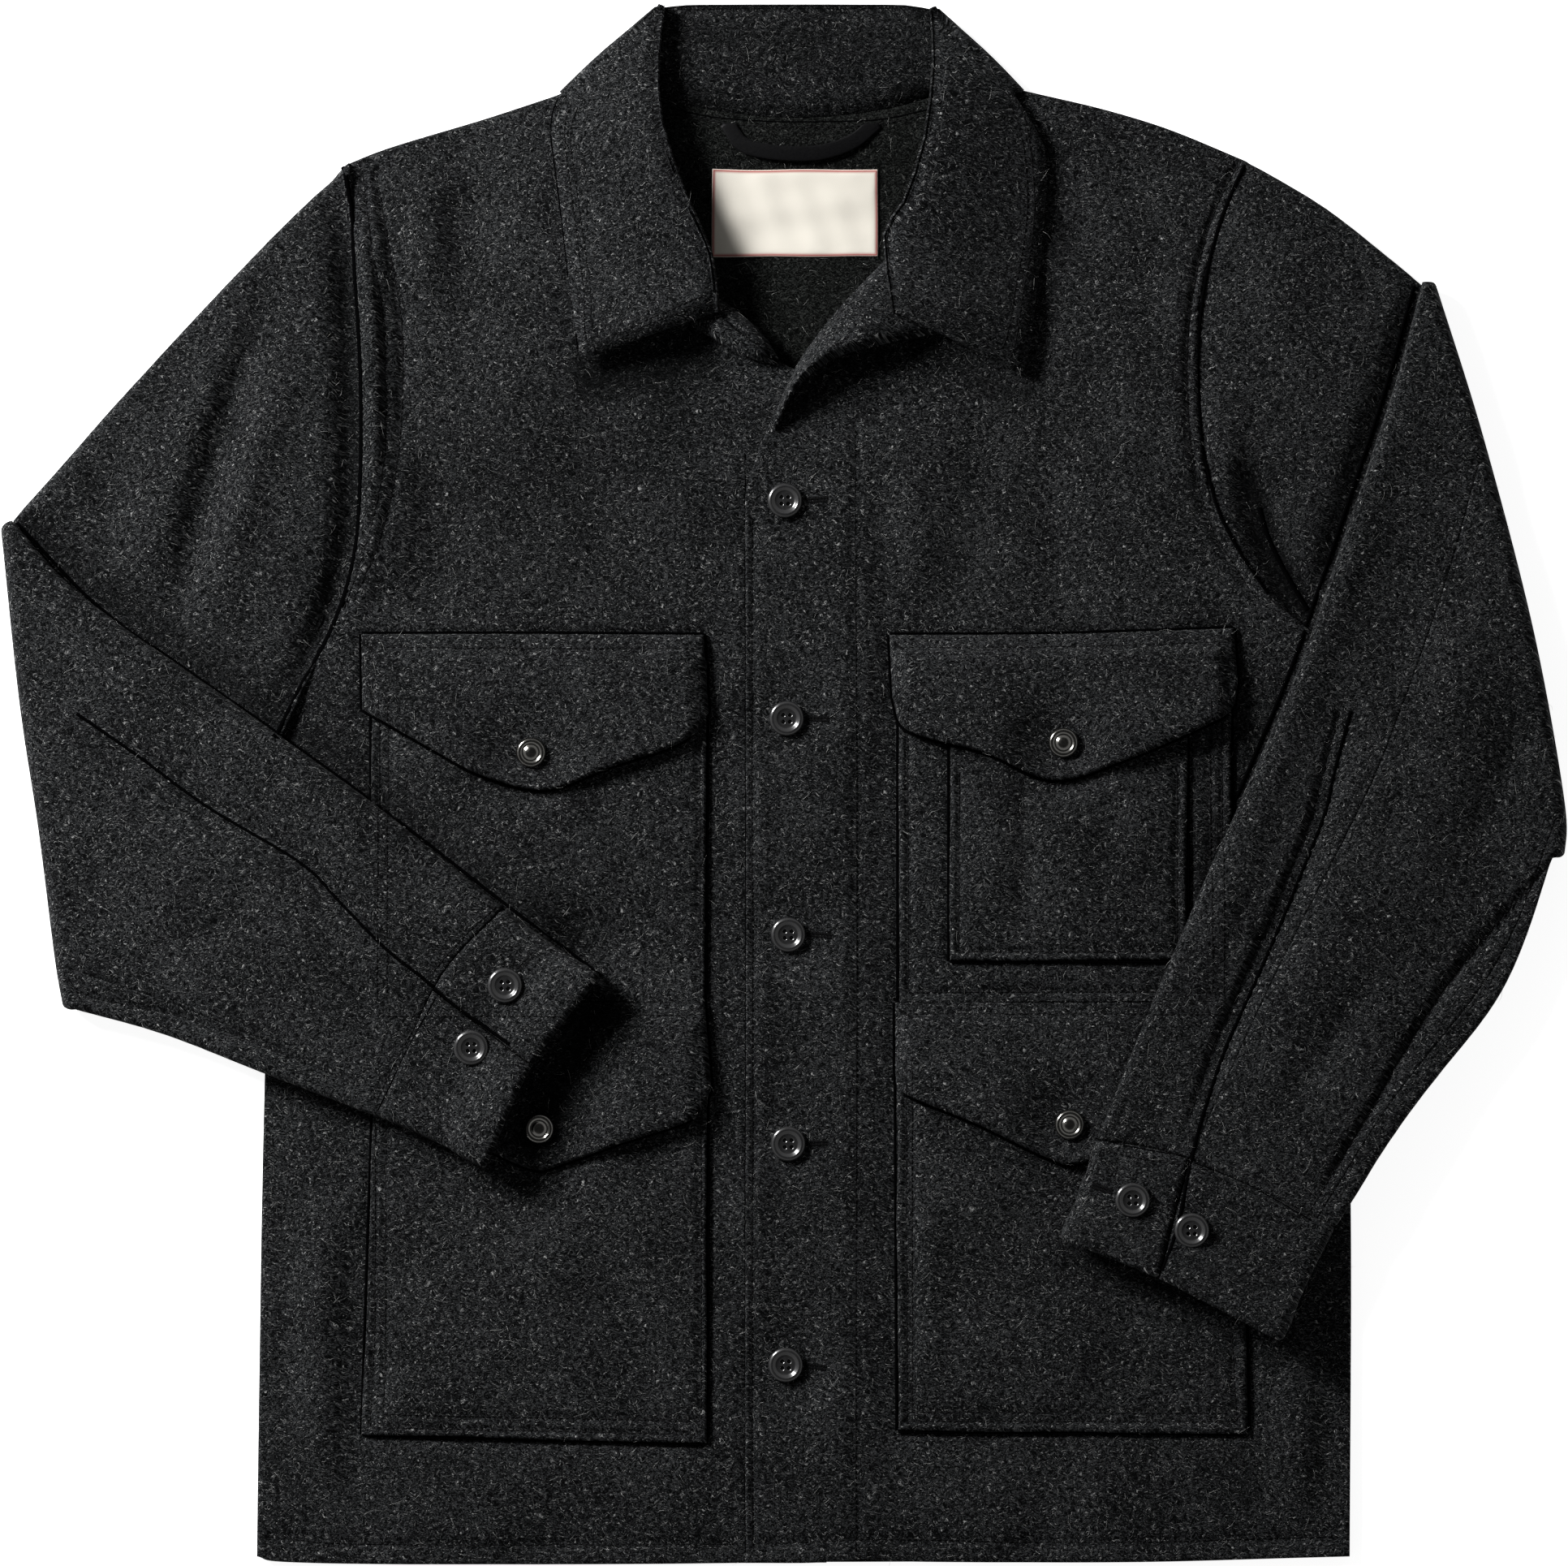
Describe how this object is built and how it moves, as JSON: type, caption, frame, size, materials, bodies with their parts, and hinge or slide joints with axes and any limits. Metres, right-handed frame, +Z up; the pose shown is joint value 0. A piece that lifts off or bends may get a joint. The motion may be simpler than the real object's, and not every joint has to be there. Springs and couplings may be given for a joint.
{
  "type": "mackinaw jacket",
  "caption": "Wool work jacket laid flat, turned-down collar, buttoned front, patch pockets with snap flaps, sleeves folded over the front.",
  "frame": {"origin": "on the surface the jacket lies on, under the middle of its bounding box", "axes": "+Z up out of the jacket's front, +Y towards the collar, +X towards the wearer's left"},
  "size_m": [0.8092, 0.8096, 0.03],
  "materials": {
    "wool": "thick fulled wool, matt, heathered charcoal with pale flecks",
    "wool_inner": "the same wool seen from its inside",
    "button_black": "glossy black with a raised rim",
    "snap_metal": "dark antiqued metal cap",
    "loop_satin": "black satin tape",
    "label_cloth": "cream woven label, left bare"
  },
  "bodies": {
    "root": {"back": "wool_inner", "front_left": "wool", "front_right": "wool", "neck_roll_left": "wool", "neck_roll_right": "wool", "collar": "wool", "sleeve_top_left": "wool", "sleeve_top_right": "wool", "sleeve_under_left": "wool", "sleeve_under_right": "wool", "cuff_left": "wool", "cuff_right": "wool", "pocket_chest_left": "wool", "pocket_chest_right": "wool", "pocket_lower_left": "wool", "pocket_lower_right": "wool", "pocket_small": "wool", "flap_chest_left": "wool", "flap_chest_right": "wool", "flap_lower_left": "wool", "flap_lower_right": "wool", "button_front_1": "button_black", "button_front_2": "button_black", "button_front_3": "button_black", "button_front_4": "button_black", "button_front_5": "button_black", "button_cuff_left_1": "button_black", "button_cuff_left_2": "button_black", "button_cuff_right_1": "button_black", "button_cuff_right_2": "button_black", "snap_chest_left": "snap_metal", "snap_chest_right": "snap_metal", "snap_lower_left": "snap_metal", "snap_lower_right": "snap_metal", "hanger_loop": "loop_satin", "label": "label_cloth"}
  },
  "joints": []
}
